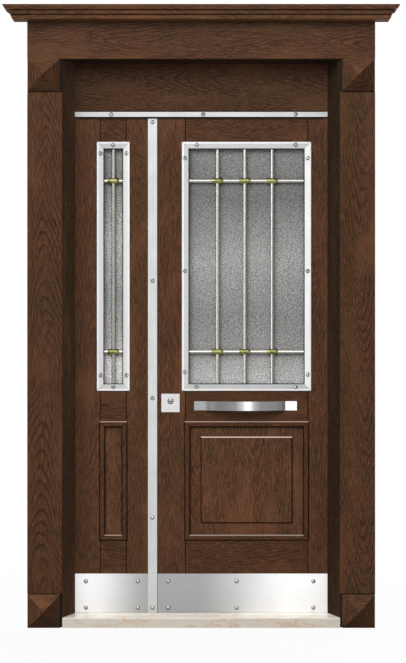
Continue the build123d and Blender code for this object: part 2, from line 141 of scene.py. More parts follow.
# Black rubber strips that stand in for shadows and shade lines, and the glazing gaskets, in metres:
# distances from the strips' edges and backs, and spans in X and Y
SEAL_END_GAP = 0.016
TRANSOM_SHADOW_DEPTH = (0.0002, 0.0044)
TRANSOM_SHADOW_HEIGHT = (-0.0075, 0.0115)
TRANSOM_SHADE_BEAD = (0.0015, 0.0060)
BLOCK_SHADE_ACROSS = (0.6256, 0.6344)
BLOCK_SHADE_DEPTH = (-0.0165, -0.0121)
BLOCK_SHADE_FOOT_GAP = 0.0005
SHADOW_LIP_GAP = 0.0001
LEFT_SHADOW_REACH = 0.0032
LEFT_SHADOW_DEPTH = (0.1484, 0.1499)
RIGHT_SHADOW_REACH = 0.0030
RIGHT_SHADOW_DEPTH = (0.1486, 0.1498)
TRIM_WIDTH = 0.030
GASKET_FRONT = 0.1535
GASKET_DEPTH = 0.0034

# Lock pieces, in metres: bolts, and black bars that stand in for the pockets' shade, as rise, height and
# width
ROSE_GAP = 0.0002
ROSE_LIFT = 0.0016
ROSE_STEPS = 32
CYLINDER_TAIL_HALF = 0.0053
KEYWAY_SHADE_HALF = (0.0086, 0.0004, 0.0024)
KEYWAY_SHADE_ROUNDING = 0.0003
LEAF_MIDDLE = 0.175
LOCK_EDGE = -0.1976
LOCK_EDGE_TURN = -atan2(5.0, 50.0)
STRIKE_EDGE = -0.2046
BOLTS = ((0.055, 0.034, 0.012), (-0.045, 0.030, 0.014))
BOLT_SHIFT = -0.0007
BOLT_HALF = 0.0009
POCKETS = ((0.055, 0.038, 0.014), (-0.045, 0.034, 0.016))
POCKET_SHIFT = 0.0004
POCKET_HALF = 0.0005

# Place, target and size of each lamp, in metres
KEY_LAMP = ((-4.5, -7.8, 7.6), (0, 0, 1.3), (5.6, 5.6))
FRONT_LAMP = ((-0.3, -9.6, 5.6), (0, 0, 1.3), (6.5, 4.6))
SIDE_LAMP = ((-7.0, -4.0, 1.5), (0, 0.1, 1.5), (0.7, 3.2))
BACK_LAMP = ((2.2, 6.0, 4.2), (0, 0, 1.2), (3.0, 3.0))
RIGHT_LAMP = ((6.5, 3.0, 4.0), (0, 0.1, 1.3), (3.0, 3.0))

# Floor and camera: the fade runs over a distance from the middle, as near, far and its two values
FLOOR_SHADE = (0.48, 0.48, 0.48)
FLOOR_LIGHT = (0.54, 0.54, 0.54)
FLOOR_FADE = (1.0, 3.6, 0.95, 1.0)
FLOOR_DROP = 0.0005
CAMERA_SIDE = 0.0081
CASING_FACE = -0.03


def tint(name, description, default):
    """A colour property, in linear values."""
    return FloatVectorProperty(
        name=name, description=description, default=default, subtype="COLOR", min=0.0, max=1.0
    )


def length(name, description, default):
    """A distance property, in metres."""
    return FloatProperty(name=name, description=description, default=default, unit="LENGTH", min=0.0)


def number(name, description, default):
    """A plain factor property."""
    return FloatProperty(name=name, description=description, default=default, min=0.0)


def power(name, description, default):
    """A lamp's power property, in watts."""
    return FloatProperty(name=name, description=description, default=default, unit="POWER", min=0.0)


class DoorColours(PropertyGroup):
    """Colours of the finishes, in linear values"""

    walnut_light: tint("Walnut light", "Early wood between the rings", (0.137, 0.0588, 0.0286))
    walnut_mid: tint("Walnut middle", "Main tone of the wood", (0.071, 0.0315, 0.0161))
    walnut_dark: tint("Walnut dark", "Late wood and pores", (0.021, 0.0114, 0.0072))
    # Painted highlight for the upper bevels of the panel work, in place of light from above
    walnut_painted_highlight: tint("Walnut rubbed", "Worn upper edges of the panel work", (0.62, 0.50, 0.41))
    aluminium: tint("Aluminium", "Cover strips and glazing trims", (0.505, 0.505, 0.505))
    # Bright and dark ends of the reflection painted along the kick plates; the light one also sets the
    # handles' painted reflection
    stainless_light: tint("Stainless light", "Bright side of the brushed sheets", (0.84, 0.84, 0.84))
    stainless_painted_dark: tint("Stainless shade", "Dull side of the brushed sheets", (0.31, 0.31, 0.315))
    bar_steel: tint("Bar steel", "Polished grille bars", (0.80, 0.765, 0.71))
    brass: tint("Brass", "Collars on the grille", (0.25, 0.245, 0.095))
    brass_tarnish: tint("Brass tarnish", "Dull patches on the collars", (0.10, 0.105, 0.035))
    # The glass colours are the pale and grey bands of a reflection painted on the panes
    glass_light: tint("Glass light", "Pale bands of the pebbled glass", (0.50, 0.495, 0.49))
    glass_shade: tint("Glass shade", "Grey bands of the pebbled glass", (0.20, 0.20, 0.198))
    # The threshold's top and front colours are painted light and shade on one stone
    marble_painted_lit_top: tint("Marble top", "Worn upper face of the threshold", (0.95, 0.90, 0.80))
    marble_painted_shaded_front: tint("Marble front", "Front face of the threshold", (0.55, 0.52, 0.46))
    marble_vein: tint("Marble vein", "Rusty veins in the threshold stone", (0.50, 0.25, 0.09))
    rubber: tint("Rubber", "Seals and gaskets", (0.010, 0.010, 0.011))
    # Fixing steel is also the painted shade round each screw's rim
    fixing_steel: tint("Fixing steel", "Screw rims and lock rose", (0.085, 0.085, 0.09))
    nickel: tint("Nickel", "Lock cylinder, bolts and hinges", (0.58, 0.57, 0.55))
    # Dull patches on hinges and cylinder, and also the painted highlight on the screws' crowns
    nickel_dull_and_crown_light: tint("Nickel shade", "Dull patches on the nickel", (0.38, 0.375, 0.36))


class DoorSizes(PropertyGroup):
    """Sizes of the fittings that are added to the door"""

    screw_diameter: length("Screw head", "Width of a cover-strip screw head", 0.020)
    screw_dome: length("Screw dome", "Height of a screw head above its seat", 0.0034)
    screw_skirt: length("Screw seat", "Depth of a screw head below its seat", 0.003)
    hinge_screw_diameter: length("Hinge screw head", "Width of a hinge screw head", 0.010)
    hinge_screw_dome: length("Hinge screw dome", "Height of a hinge screw head", 0.0012)
    glazing_lip: length("Glazing lip", "Width of the gasket inside each glazing trim", 0.004)
    faceplate_width: length("Faceplate width", "Width of the lock's edge plate", 0.022)
    faceplate_height: length("Faceplate height", "Height of the lock's edge plate", 0.235)
    strike_height: length("Strike height", "Height of the plate that takes the bolts", 0.165)
    plate_thickness: length("Edge plate", "Thickness of the edge plates", 0.0016)
    rose_width: length("Cylinder rose", "Width of the dark ring round the lock cylinder", 0.0036)


class DoorStage(PropertyGroup):
    """Lamps, floor and camera of the studio"""

    key_power: power("Key lamp", "Soft lamp from the front left", 720.0)
    front_power: power("Front lamp", "Wide lamp above the camera", 400.0)
    side_power: power("Side lamp", "Tall narrow lamp that edges the metal from the left", 45.0)
    back_power: power("Back lamp", "Soft lamp behind the door", 420.0)
    right_power: power("Right lamp", "Soft lamp on the right, behind the casing's face", 260.0)
    ambient: number("Ambient", "World light that reaches dull surfaces", 0.29)
    floor_radius: length("Floor radius", "Size of the round floor", 9.0)
    camera_distance: length("Camera distance", "From the camera to the casing's face", 9.0)
    camera_height: length("Camera height", "Height of the camera's axis", 1.334)
    lens: FloatProperty(name="Lens", description="Focal length", default=108.6, unit="CAMERA")


class DoorSettings(PropertyGroup):
    """Everything that a user may change"""

    colours: PointerProperty(type=DoorColours)
    sizes: PointerProperty(type=DoorSizes)
    stage: PointerProperty(type=DoorStage)


def rgba(colour, factor=1.0):
    """A property colour as a node colour, made lighter or darker by a factor."""
    return (*[min(1.0, channel * factor) for channel in colour], 1.0)


class Finish:
    """A new material, with short calls that add and join its nodes."""

    def __init__(self, name):
        self.material = bpy.data.materials.new(name)
        self.material.use_nodes = True
        self.nodes = self.material.node_tree.nodes
        self.links = self.material.node_tree.links
        self.shader = self.nodes["Principled BSDF"]
        source = self.node("ShaderNodeTexCoord")
        self.coordinates = source.outputs["Object"]
        self.facing = source.outputs["Normal"]

    def node(self, kind, **options):
        """Adds a node and sets its properties."""
        node = self.nodes.new(kind)
        for key, value in options.items():
            setattr(node, key, value)
        return node

    def feed(self, socket, value):
        """Links an output to a socket, or sets the socket to a plain value."""
        if isinstance(value, bpy.types.NodeSocket):
            self.links.new(value, socket)
        else:
            socket.default_value = value

    def set(self, **values):
        """Feeds the shader's sockets, named with underscores."""
        for key, value in values.items():
            self.feed(self.shader.inputs[key.replace("_", " ")], value)

    def math(self, operation, *values):
        """A sum on plain numbers."""
        node = self.node("ShaderNodeMath", operation=operation)
        for socket, value in zip(node.inputs, values):
            self.feed(socket, value)
        return node.outputs[0]

    def vector(self, operation, *values):
        """A sum on vectors, or the length of one."""
        node = self.node("ShaderNodeVectorMath", operation=operation)
        for socket, value in zip(node.inputs, values):
            self.feed(socket, value)
        return node.outputs["Value" if operation == "LENGTH" else "Vector"]

    def place(self, shift=(0, 0, 0), turn=UPRIGHT, scale=(1, 1, 1)):
        """Object coordinates, scaled, turned and then shifted."""
        node = self.node("ShaderNodeMapping")
        self.feed(node.inputs["Vector"], self.coordinates)
        self.feed(node.inputs["Location"], shift)
        self.feed(node.inputs["Rotation"], turn)
        self.feed(node.inputs["Scale"], scale)
        return node.outputs[0]

    def axes(self, vector):
        """The three parts of a vector."""
        node = self.node("ShaderNodeSeparateXYZ")
        self.feed(node.inputs[0], vector)
        return node.outputs[0], node.outputs[1], node.outputs[2]

    def noise(self, vector, scale, detail=3.0, roughness=0.55, distortion=0.0, output="Fac"):
        """Noise over a vector, as a factor or as a colour."""
        node = self.node("ShaderNodeTexNoise")
        self.feed(node.inputs["Vector"], vector)
        self.feed(node.inputs["Scale"], scale)
        self.feed(node.inputs["Detail"], detail)
        self.feed(node.inputs["Roughness"], roughness)
        self.feed(node.inputs["Distortion"], distortion)
        return node.outputs[output]

    def span(self, value, low, high, to_low=0.0, to_high=1.0):
        """Maps one range smoothly onto another and holds the ends."""
        node = self.node("ShaderNodeMapRange", interpolation_type="SMOOTHSTEP")
        for socket, part in zip(node.inputs, (value, low, high, to_low, to_high)):
            self.feed(socket, part)
        return node.outputs[0]

    def ramp(self, factor, *stops):
        """A colour ramp through (position, colour) stops."""
        node = self.node("ShaderNodeValToRGB")
        elements = node.color_ramp.elements
        while len(elements) < len(stops):
            elements.new(1.0)
        for element, (position, colour) in zip(elements, stops):
            element.position = position
            element.color = colour
        self.feed(node.inputs[0], factor)
        return node.outputs[0]

    def mix(self, factor, first, second, blend="MIX"):
        """Blends two colours."""
        node = self.node("ShaderNodeMix", data_type="RGBA", blend_type=blend)
        self.feed(node.inputs[0], factor)
        self.feed(node.inputs[6], first)
        self.feed(node.inputs[7], second)
        return node.outputs[2]

    def choose(self, factor, first, second):
        """One vector or the other."""
        node = self.node("ShaderNodeMix", data_type="VECTOR")
        self.feed(node.inputs[0], factor)
        self.feed(node.inputs[4], first)
        self.feed(node.inputs[5], second)
        return node.outputs[1]

    def bump(self, height, strength, distance):
        """Raises the surface by a height pattern."""
        node = self.node("ShaderNodeBump")
        self.feed(node.inputs["Height"], height)
        self.feed(node.inputs["Strength"], strength)
        self.feed(node.inputs["Distance"], distance)
        self.set(Normal=node.outputs[0])


def settings():
    """The door's colours, sizes and studio values."""
    return bpy.context.scene.front_door


def dress(node, material):
    """Gives a CAD node its finish."""
    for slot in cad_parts[node].material_slots:
        slot.material = material


def board_vector(finish, board, turn, count):
    """Coordinates about a board's middle with the grain along Z, moved to a cut of its own."""
    low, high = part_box(board)
    middle = Euler(turn).to_matrix() @ ((low + high) / 2)
    heart_side = ((count * GOLDEN) % 1.0 - 0.5) * HEART_SWING
    heart_depth = HEART_DEPTH + ((count * GOLDEN * 3) % 1.0) * HEART_DEPTH_RANGE
    cut = Vector((heart_side, heart_depth, count * BOARD_STEP))
    return finish.place(cut - middle, turn)


def mitre_lines(finish, ring):
    """Which side of a mitred ring a point is on, as 1 for the uprights, and the joint lines as 1."""
    low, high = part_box(ring)
    middle = (low + high) / 2
    half = (high - low) / 2
    x, _, z = finish.axes(finish.place(-middle))
    from_side = finish.math("SUBTRACT", finish.math("ABSOLUTE", x), half.x)
    from_end = finish.math("SUBTRACT", finish.math("ABSOLUTE", z), half.z)
    lead = finish.math("SUBTRACT", from_side, from_end)
    uprights = finish.math("GREATER_THAN", lead, 0.0)
    joints = finish.span(finish.math("ABSOLUTE", lead), 0.0, MITRE_LINE, 1.0, 0.0)
    return uprights, joints


def tilted(finish, amount):
    """1 where a face leans by this part of its facing, as on a bevel, and 0 on square faces."""
    leaning = finish.span(amount, *BEVEL_LEAN)
    square = finish.span(amount, *SQUARE_LEAN, 1.0, 0.0)
    return finish.math("MULTIPLY", leaning, square)


def paint_bevel_light_and_shade(wood, colour, edge_highlight):
    """Painted shade in the side and lower bevels, and a painted highlight on the upper ones."""
    colours = settings().colours
    x, _, z = wood.axes(wood.facing)
    beside = tilted(wood, wood.math("ABSOLUTE", x))
    below = tilted(wood, wood.math("MULTIPLY", z, -1.0))
    above = tilted(wood, z)
    bevel_shade = wood.math("MULTIPLY", wood.math("MAXIMUM", beside, below), JOINT_AND_SHADE_DEPTH)
    colour = wood.mix(bevel_shade, colour, rgba(colours.walnut_dark, JOINT_AND_SHADE_TONE))
    return wood.mix(wood.math("MULTIPLY", above, edge_highlight), colour, rgba(colours.walnut_painted_highlight))


def paint_facet_light_and_shade(wood, colour):
    """Four triangles of veneer on a pyramid, with painted light and shade: the upper one palest, the
    lower one darkest and the right one dark.
    """
    x, _, z = wood.axes(wood.facing)
    tones = (
        (wood.span(z, *FACET_LEAN), PYRAMID_PAINTED_SHADING["upper"]),
        (wood.span(wood.math("MULTIPLY", z, -1.0), *FACET_LEAN), PYRAMID_PAINTED_SHADING["lower"]),
        (wood.span(x, *FACET_LEAN), PYRAMID_PAINTED_SHADING["right"]),
    )
    for facet, tone in tones:
        toned = wood.vector("SCALE", colour)
        toned.node.inputs["Scale"].default_value = tone
        colour = wood.mix(facet, colour, toned)
    return colour


def walnut(
    board, turn, count, tone=1.0, redder=0.0, gloss=0.03,
    edge_highlight=None, mitred=False, faceted=False, figure=0.5,
):
    """Satin-lacquered walnut for one board: cathedral rings, fibre streaks and short flecks."""
    colours = settings().colours
    wood = Finish("walnut_" + board)
    if faceted or mitred:
        level_vector = board_vector(wood, board, LEVEL, count)
        upright_vector = board_vector(wood, board, UPRIGHT, count)
    if faceted:
        _, _, facing_up = wood.axes(wood.facing)
        lying = wood.span(wood.math("ABSOLUTE", facing_up), *FACET_LEAN)
        grain = wood.choose(lying, upright_vector, level_vector)
    elif mitred:
        uprights, joints = mitre_lines(wood, board)
        grain = wood.choose(uprights, level_vector, upright_vector)
    else:
        grain = board_vector(wood, board, turn, count)

    wander = wood.noise(wood.vector("MULTIPLY", grain, (1, 1, 0.35)), 3.2, 2.0, output="Color")
    drift = wood.vector("MULTIPLY", wood.vector("SUBTRACT", wander, (0.5, 0.5, 0.5)), (0.22, 0.12, 0))
    log = wood.vector("ADD", grain, drift)
    radius = wood.vector("LENGTH", wood.vector("MULTIPLY", log, (1, 1, 0)))
    _, _, along = wood.axes(grain)
    taper = wood.math("MULTIPLY", along, LOG_TAPER if count % 2 else -LOG_TAPER)
    ripple = wood.noise(wood.vector("MULTIPLY", grain, (1, 1, 0.30)), 42.0, 3.0, 0.6)
    ripple = wood.math("MULTIPLY", ripple, RIPPLE_DEPTH)
    growth = wood.math("ADD", wood.math("ADD", radius, taper), ripple)
    ring = wood.math("FRACT", wood.math("DIVIDE", growth, RING_PERIOD))
    late = wood.math("MULTIPLY", wood.span(ring, 0.48, 0.85), wood.span(ring, 0.88, 1.0, 1.0, 0.0))

    fibres = wood.noise(wood.vector("MULTIPLY", grain, (1, 1, 0.09)), 230.0, 3.0, 0.6)
    flecks = wood.noise(wood.vector("MULTIPLY", grain, (1, 1, 0.55)), 260.0, 2.0, 0.6)
    clouds = wood.noise(wood.vector("MULTIPLY", grain, (1, 1, 0.30)), 9.0, 3.0)
    streaks = wood.math("ADD", wood.math("MULTIPLY", fibres, 0.52), wood.math("MULTIPLY", flecks, 0.48))

    red = (1.0 + redder, 1.0, 1.0 - redder)
    light = rgba([c * r for c, r in zip(colours.walnut_light, red)], tone)
    mid = rgba([c * r for c, r in zip(colours.walnut_mid, red)], tone)
    dark = rgba([c * r for c, r in zip(colours.walnut_dark, red)], tone)
    colour = wood.ramp(streaks, (0.34, dark), (0.50, mid), (0.67, light))
    ring_depth = wood.math("MULTIPLY", late, wood.span(clouds, 0.34, 0.62, figure, figure * 0.28))
    colour = wood.mix(ring_depth, colour, dark)
    colour = wood.mix(wood.span(clouds, 0.48, 0.72, 0.0, 0.40), colour, light)
    patches = wood.noise(wood.vector("MULTIPLY", grain, (1, 1, 0.45)), 5.0, 2.0)
    colour = wood.mix(wood.span(patches, 0.42, 0.62), colour, (0.91, 0.99, 0.96, 1.0), "MULTIPLY")
    if mitred:
        joint_depth = wood.math("MULTIPLY", joints, JOINT_AND_SHADE_DEPTH)
        colour = wood.mix(joint_depth, colour, rgba(colours.walnut_dark, JOINT_AND_SHADE_TONE))
    # Painted highlight and shade on the bevels, and painted light and shade on the pyramid facets
    if edge_highlight is not None:
        colour = paint_bevel_light_and_shade(wood, colour, edge_highlight)
    if faceted:
        colour = paint_facet_light_and_shade(wood, colour)

    relief = wood.math("ADD", wood.math("MULTIPLY", late, 0.4), flecks)
    wood.bump(wood.math("SUBTRACT", 1.0, relief), 0.22, 0.0004)
    wood.set(
        Base_Color=colour,
        Roughness=wood.span(fibres, 0.2, 0.8, 0.62, 0.46),
        Specular_IOR_Level=0.25 * gloss,
        Coat_Weight=gloss,
        Coat_Roughness=0.22,
    )
    return wood.material


def brush_lines(metal, scale):
    """Fine brush lines, from noise that is stretched along them."""
    return metal.noise(metal.place(scale=scale), 1.0, 4.0, 0.6)


def brushed(name, run, light, shade=None, roughness=(0.42, 0.54), ring=None, reflection_slope=None):
    """Brushed metal: fine lines along run, with a painted reflection from dark to bright between the two
    ends in X that reflection_slope gives.
    """
    metal = Finish(name)
    colour = rgba(light)
    if ring:
        uprights, joints = mitre_lines(metal, ring)
        upright_lines = brush_lines(metal, (BRUSH_ACROSS, BRUSH_ACROSS, BRUSH_ALONG))
        level_lines = brush_lines(metal, (BRUSH_ALONG, BRUSH_ACROSS, BRUSH_ACROSS))
        lines = metal.math(
            "ADD",
            metal.math("MULTIPLY", upright_lines, uprights),
            metal.math("MULTIPLY", level_lines, metal.math("SUBTRACT", 1.0, uprights)),
        )
    else:
        scale = Vector((BRUSH_ACROSS, BRUSH_ACROSS, BRUSH_ACROSS))
        scale[run] = BRUSH_ALONG
        lines = brush_lines(metal, scale)
    smudges = metal.noise(metal.place(), 9.0, 3.0)
    # Painted reflection: the sheet's colour runs from dark to bright along X
    if reflection_slope:
        x, _, _ = metal.axes(metal.place())
        across = metal.math("ADD", x, metal.math("MULTIPLY", smudges, SMUDGE_SHIFT))
        colour = metal.ramp(
            metal.span(across, reflection_slope[0] + SMUDGE_SHIFT / 2, reflection_slope[1] + SMUDGE_SHIFT / 2),
            (0.0, rgba(shade)),
            (1.0, rgba(light)),
        )
    tone = metal.mix(metal.span(lines, 0.30, 0.70, 0.0, 0.10), colour, rgba(light, 0.6))
    if ring:
        _, _, up = metal.axes(metal.facing)
        dust = metal.span(up, 0.15, 0.40, 0.0, 0.8)
        tone = metal.mix(dust, tone, rgba(light, 0.5))
        tone = metal.mix(metal.math("MULTIPLY", joints, 0.7), tone, rgba(light, 0.18))
    metal.bump(lines, 0.06, 0.0002)
    metal.set(
        Base_Color=tone,
        Metallic=1.0,
        Roughness=metal.span(metal.math("ADD", lines, smudges), 0.6, 1.4, *roughness),
    )
    return metal.material


def handle_painted_reflection(handle):
    """Brushed sheet with a reflection painted along it: dark on both flanks of the bow, bright at its
    crown and right foot, and mid-grey at its left foot.
    """
    colours = settings().colours
    low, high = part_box(handle)
    steel = Finish("stainless_" + handle)
    lines = brush_lines(steel, (6, 300, BRUSH_ACROSS))
    x, _, _ = steel.axes(steel.place((-low.x, 0, 0)))
    run = steel.math("DIVIDE", x, high.x - low.x)
    light = colours.stainless_light
    # Painted reflection and highlight, by place along the handle
    tone = steel.ramp(
        run,
        (0.00, rgba(light, 0.38)), (0.10, rgba(light, 0.40)), (0.14, rgba(light, 0.14)),
        (0.23, rgba(light, 0.19)), (0.40, rgba(light, 0.26)), (0.47, rgba(light, 0.60)),
        (0.50, rgba(light, 1.1)), (0.54, rgba(light, 1.1)), (0.58, rgba(light, 0.52)),
        (0.64, rgba(light, 0.30)), (0.77, rgba(light, 0.30)), (0.82, rgba(light, 0.38)),
        (0.865, rgba(light, 0.95)), (0.89, rgba(light, 1.1)), (1.00, rgba(light, 1.2)),
    )
    steel.bump(lines, 0.08, 0.0002)
    steel.set(
        Base_Color=steel.mix(steel.span(lines, 0.30, 0.70, 0.0, 0.15), tone, rgba(light, 0.25)),
        Metallic=1.0,
        Roughness=steel.span(lines, 0.30, 0.70, 0.26, 0.38),
    )
    return steel.material


def dull_metal(name, light, shade, roughness):
    """Plain turned or cast metal with soft patches and fine scratches."""
    metal = Finish(name)
    patches = metal.noise(metal.place(), 38.0, 4.0, 0.6)
    scratches = metal.noise(metal.place(scale=(700, 700, 60)), 1.0, 2.0)
    metal.bump(scratches, 0.05, 0.0002)
    metal.set(
        Base_Color=metal.ramp(patches, (0.35, rgba(shade)), (0.62, rgba(light))),
        Metallic=1.0,
        Roughness=metal.span(patches, 0.3, 0.7, *roughness),
    )
    return metal.material


def screw_steel():
    """Zinc-plated screws, with a painted highlight on the crown and painted shade round the rim."""
    colours = settings().colours
    steel = Finish("screw_steel")
    _, y, _ = steel.axes(steel.facing)
    crown_speckle = steel.noise(steel.place(), 400.0, 2.0)
    crown = steel.math("ADD", steel.math("ABSOLUTE", y), steel.math("MULTIPLY", crown_speckle, 0.06))
    # Painted shade round the rim and a painted highlight on the crown, by facing
    rim = rgba(colours.fixing_steel)
    steel.set(
        Base_Color=steel.ramp(crown, (0.84, rim), (0.99, rgba(colours.nickel_dull_and_crown_light))),
        Metallic=1.0,
        Roughness=steel.span(crown_speckle, 0.3, 0.7, 0.30, 0.44),
    )
    return steel.material


def grille_steel():
    """Polished round bars, with a painted highlight on their upper and left sides and a painted dark
    reflection along the middle.
    """
    colours = settings().colours
    steel = Finish("grille_steel")
    x, _, z = steel.axes(steel.facing)
    sweep_noise = steel.noise(steel.place(), 30.0, 3.0)
    turn = steel.math("ADD", steel.math("SUBTRACT", x, z), steel.math("MULTIPLY", sweep_noise, 0.10))
    light = colours.bar_steel
    # Painted light and reflection: bright up and left, dark in the middle, mid-grey to the right, by the
    # way each face leans
    tone = steel.ramp(
        steel.span(turn, -0.92, 1.08),
        (0.00, rgba(light, 0.50)), (0.08, rgba(light, 0.95)), (0.26, rgba(light, 0.90)),
        (0.38, rgba(light, 0.26)), (0.60, rgba(light, 0.30)), (0.74, rgba(light, 0.58)),
    )
    steel.set(
        Base_Color=tone,
        Metallic=1.0,
        Roughness=steel.span(sweep_noise, 0.3, 0.7, 0.24, 0.34),
    )
    return steel.material


def pebbled_glass(pane, lift, gain):
    """Obscured glass: close round pebbles, grey, with level bands of painted reflection raised by lift.
    """
    colours = settings().colours
    low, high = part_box(pane)
    glass = Finish("glass_" + pane)
    _, _, z = glass.axes(glass.place((0, 0, -low.z - lift)))
    drift = glass.noise(glass.place(scale=(3, 3, 1)), 3.0, 2.0)
    drift = glass.math("MULTIPLY", glass.math("SUBTRACT", drift, 0.5), 0.10)
    rise = glass.math("DIVIDE", glass.math("ADD", z, drift), high.z - low.z)
    bands = glass.ramp(
        rise,
        (0.02, rgba(colours.glass_light, 1.30 * gain)),
        (0.15, rgba(colours.glass_light, 0.72 * gain)),
        (0.30, rgba(colours.glass_shade, 1.45 * gain)),
        (0.53, rgba(colours.glass_light, 0.86 * gain)),
        (0.78, rgba(colours.glass_shade, 0.96 * gain)),
        (0.96, rgba(colours.glass_shade, 1.30 * gain)),
    )
    pebbles = glass.node("ShaderNodeTexVoronoi", feature="SMOOTH_F1")
    glass.feed(pebbles.inputs["Vector"], glass.place())
    glass.feed(pebbles.inputs["Scale"], 125.0)
    dome = glass.math("SUBTRACT", 1.0, pebbles.outputs["Distance"])
    ripples = glass.noise(glass.place(turn=(0, 0.6, 0), scale=(1, 1, 1.8)), 120.0, 2.0, 0.6)
    grit = glass.ramp(ripples, (0.38, rgba((0.46, 0.46, 0.46))), (0.62, WHITE))
    glass.bump(glass.math("ADD", dome, ripples), 0.8, 0.004)
    glass.set(
        Base_Color=glass.mix(1.0, bands, grit, "MULTIPLY"),
        Roughness=glass.span(pebbles.outputs["Distance"], 0.1, 0.8, 0.34, 0.52),
        Transmission_Weight=0.12,
        Specular_IOR_Level=0.3,
        IOR=1.45,
    )
    return glass.material


def threshold_marble(name):
    """Cream marble with rusty veins, with painted light on its upper face and painted shade on its
    front.
    """
    colours = settings().colours
    stone = Finish(name)
    bend = stone.noise(stone.place(scale=(3.0, 9, 9)), 1.6, 4.0, output="Color")
    bend = stone.vector("MULTIPLY", bend, (1.6, 1.6, 1.6))
    bent = stone.vector("ADD", stone.place(turn=(0, 0.25, 0), scale=(6, 16, 22)), bend)
    veins = stone.noise(bent, 1.5, 6.0, 0.68, 0.5)
    fine = stone.span(stone.math("ABSOLUTE", stone.math("SUBTRACT", veins, 0.5)), 0.0, 0.045, 1.0, 0.0)
    patches = stone.noise(stone.place(scale=(1, 2, 2)), 7.0, 3.0)
    vein_depth = stone.math("MULTIPLY", fine, stone.span(patches, 0.42, 0.62, 0.06, 0.62))
    grain = stone.noise(stone.place(), 260.0, 3.0)
    _, _, up = stone.axes(stone.facing)
    # Painted light and shade: the upper face is cream and the front greyer, by which way each face looks
    ground = stone.mix(stone.span(up, 0.4, 0.9), rgba(colours.marble_painted_shaded_front), rgba(colours.marble_painted_lit_top))
    ground = stone.mix(stone.span(grain, 0.38, 0.66, 0.0, 0.10), ground, rgba(colours.marble_vein, 1.4))
    stone.bump(grain, 0.04, 0.0003)
    stone.set(
        Base_Color=stone.mix(vein_depth, ground, rgba(colours.marble_vein)),
        Roughness=stone.span(veins, 0.3, 0.7, 0.42, 0.30),
        Specular_IOR_Level=0.4,
    )
    return stone.material


def seal_rubber(name):
    """Matt black rubber with a dusty bloom."""
    colours = settings().colours
    rubber = Finish(name)
    bloom = rubber.noise(rubber.place(), 60.0, 4.0, 0.6)
    rubber.bump(rubber.noise(rubber.place(), 900.0, 2.0), 0.1, 0.0002)
    rubber.set(
        Base_Color=rubber.ramp(bloom, (0.3, rgba(colours.rubber)), (0.8, rgba(colours.rubber, 2.2))),
        Roughness=rubber.span(bloom, 0.2, 0.8, 0.65, 0.85),
        Specular_IOR_Level=0.06,
    )
    return rubber.material


def keep(bm, name, body, material, smooth_angle=None):
    """Makes a finished object from a bmesh, on its body and material."""
    bmesh.ops.remove_doubles(bm, verts=bm.verts, dist=1e-6)
    bmesh.ops.recalc_face_normals(bm, faces=bm.faces)
    mesh = bpy.data.meshes.new(name)
    bm.to_mesh(mesh)
    bm.free()
    if smooth_angle:
        mesh.polygons.foreach_set("use_smooth", [True] * len(mesh.polygons))
        mesh.set_sharp_from_angle(angle=smooth_angle)
    mesh.materials.append(material)
    piece = bpy.data.objects.new(name, mesh)
    bpy.context.scene.collection.objects.link(piece)
    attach(piece, body)


class DOOR_OT_walnut(Operator):
    """Give every wooden board its own cut of walnut"""

    bl_idname = "front_door.walnut"
    bl_label = "Walnut"

    def execute(self, context):
        casing = ("left_pilaster", "right_pilaster", "upper_blocks", "lower_blocks")
        uprights = (
            "side_hinge_stile", "side_meeting_stile", "side_panel",
            "main_hinge_stile", "main_lock_stile", "main_panel",
        )
        rails = [f"{leaf}_{place}_rail" for leaf in LEAVES for place in ("top", "lock", "bottom")]
        count = 1
        for board in casing:
            faceted = "blocks" in board
            wood = walnut(board, UPRIGHT, count, CASING_TONE, faceted=faceted, figure=CASING_FIGURE)
            dress(board, wood)
            count += 1
        for board in uprights:
            tone = UPRIGHT_TONES_AND_FILL.get(board, UPRIGHT_TONE)
            dress(board, walnut(board, UPRIGHT, count, tone, edge_highlight=UPRIGHT_EDGE_HIGHLIGHT))
            count += 1
        for board, tone in LEVEL_TONES:
            dress(board, walnut(board, LEVEL, count, tone, figure=LEVEL_FIGURE))
            count += 1
        for board in rails:
            dress(board, walnut(board, LEVEL, count, edge_highlight=RAIL_EDGE_HIGHLIGHT))
            count += 1
        for leaf in LEAVES:
            ring = f"{leaf}_panel_moulding"
            dress(ring, walnut(ring, UPRIGHT, count, edge_highlight=MOULDING_EDGE_HIGHLIGHT, mitred=True))
            count += 1
        for board, turn, tone in LINING_PAINTED_SHADES:
            dress(board, walnut(board, turn, count, tone, LINING_REDDER, gloss=0.0))
            count += 1
        return {"FINISHED"}


